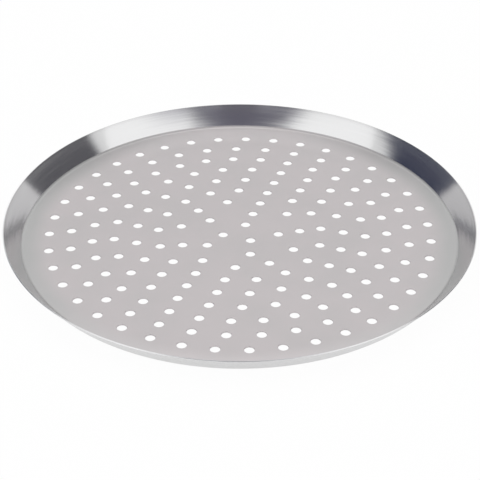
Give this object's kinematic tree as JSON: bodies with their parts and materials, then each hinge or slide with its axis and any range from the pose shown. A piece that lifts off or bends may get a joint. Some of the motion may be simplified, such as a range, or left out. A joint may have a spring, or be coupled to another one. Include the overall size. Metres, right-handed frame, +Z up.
{
  "type": "pizza pan",
  "caption": "Round perforated pizza pan in sheet aluminium: a flat floor with concentric rings of vent holes and a low wall flared to a plain cut lip.",
  "frame": {"origin": "centre of the floor's lower face, on the plane the pan rests on", "axes": "+Z up, out of the pan's open top; +X to the right and +Y away from the viewer, seen as in the picture; the rings of holes start on the radial line 69.5 degrees from +X towards +Y"},
  "size_m": [0.3048, 0.3048, 0.0143],
  "materials": {
    "satin_aluminium": "bare satin aluminium, matt on the floor and finely turned and brighter on the wall"
  },
  "bodies": {
    "root": {"perforated_pan": "satin_aluminium"}
  },
  "joints": []
}
